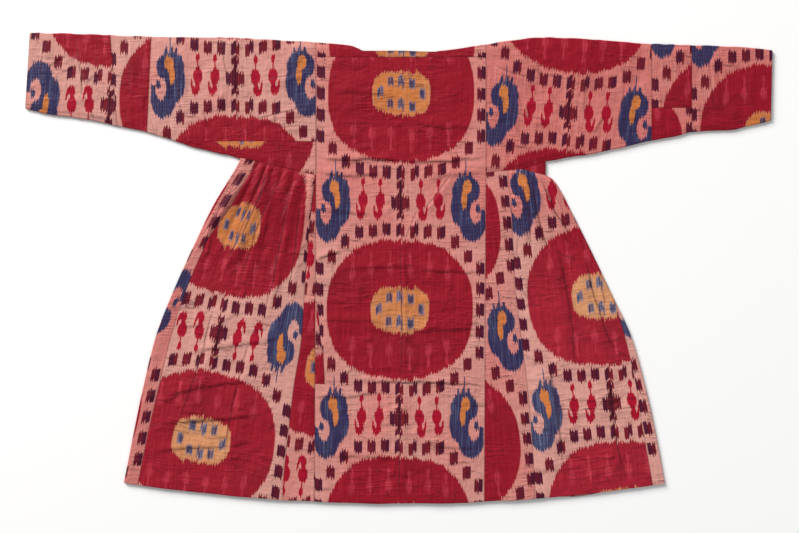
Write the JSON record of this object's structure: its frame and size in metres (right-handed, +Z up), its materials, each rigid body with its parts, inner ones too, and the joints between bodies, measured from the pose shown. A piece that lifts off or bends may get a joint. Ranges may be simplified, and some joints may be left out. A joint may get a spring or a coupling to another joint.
{
  "type": "women's ikat robe of the munisak cut, a kind of chapan, laid flat on its front",
  "caption": "Long-sleeved open-fronted ikat robe with flaring gores gathered under the arms, laid flat with its back up.",
  "frame": {"origin": "middle of the laid-out robe's bounding box, on the surface that it lies on", "axes": "+X from the wearer's left cuff towards the right one, +Y from the hem towards the neck, +Z up out of the back of the robe"},
  "size_m": [1.7683, 1.1155, 0.0083],
  "materials": {
    "ikat_crimson": "warp ikat of silk on cotton, crimson ground, slight sheen",
    "ikat_rose": "warp ikat of silk on cotton, faded rose ground, slight sheen"
  },
  "bodies": {
    "root": {"back_centre_panel": "ikat_crimson", "back_piecing_strip": "ikat_crimson", "neck_strip": "ikat_crimson", "back_gore_left_narrow": "ikat_rose", "back_gore_right_narrow": "ikat_rose", "back_gore_left_wide": "ikat_crimson", "back_gore_right_wide": "ikat_crimson", "front_side_left": "ikat_rose", "front_side_right": "ikat_rose", "front_panel_left": "ikat_crimson", "front_panel_right": "ikat_crimson", "sleeve_left_upper": "ikat_rose", "sleeve_left_band": "ikat_crimson", "sleeve_left_cuff": "ikat_rose", "sleeve_right_upper": "ikat_rose", "sleeve_right_middle": "ikat_rose", "sleeve_right_middle_patch": "ikat_crimson", "sleeve_right_cuff": "ikat_crimson", "gusset_left": "ikat_crimson", "gusset_right": "ikat_crimson"}
  },
  "joints": []
}
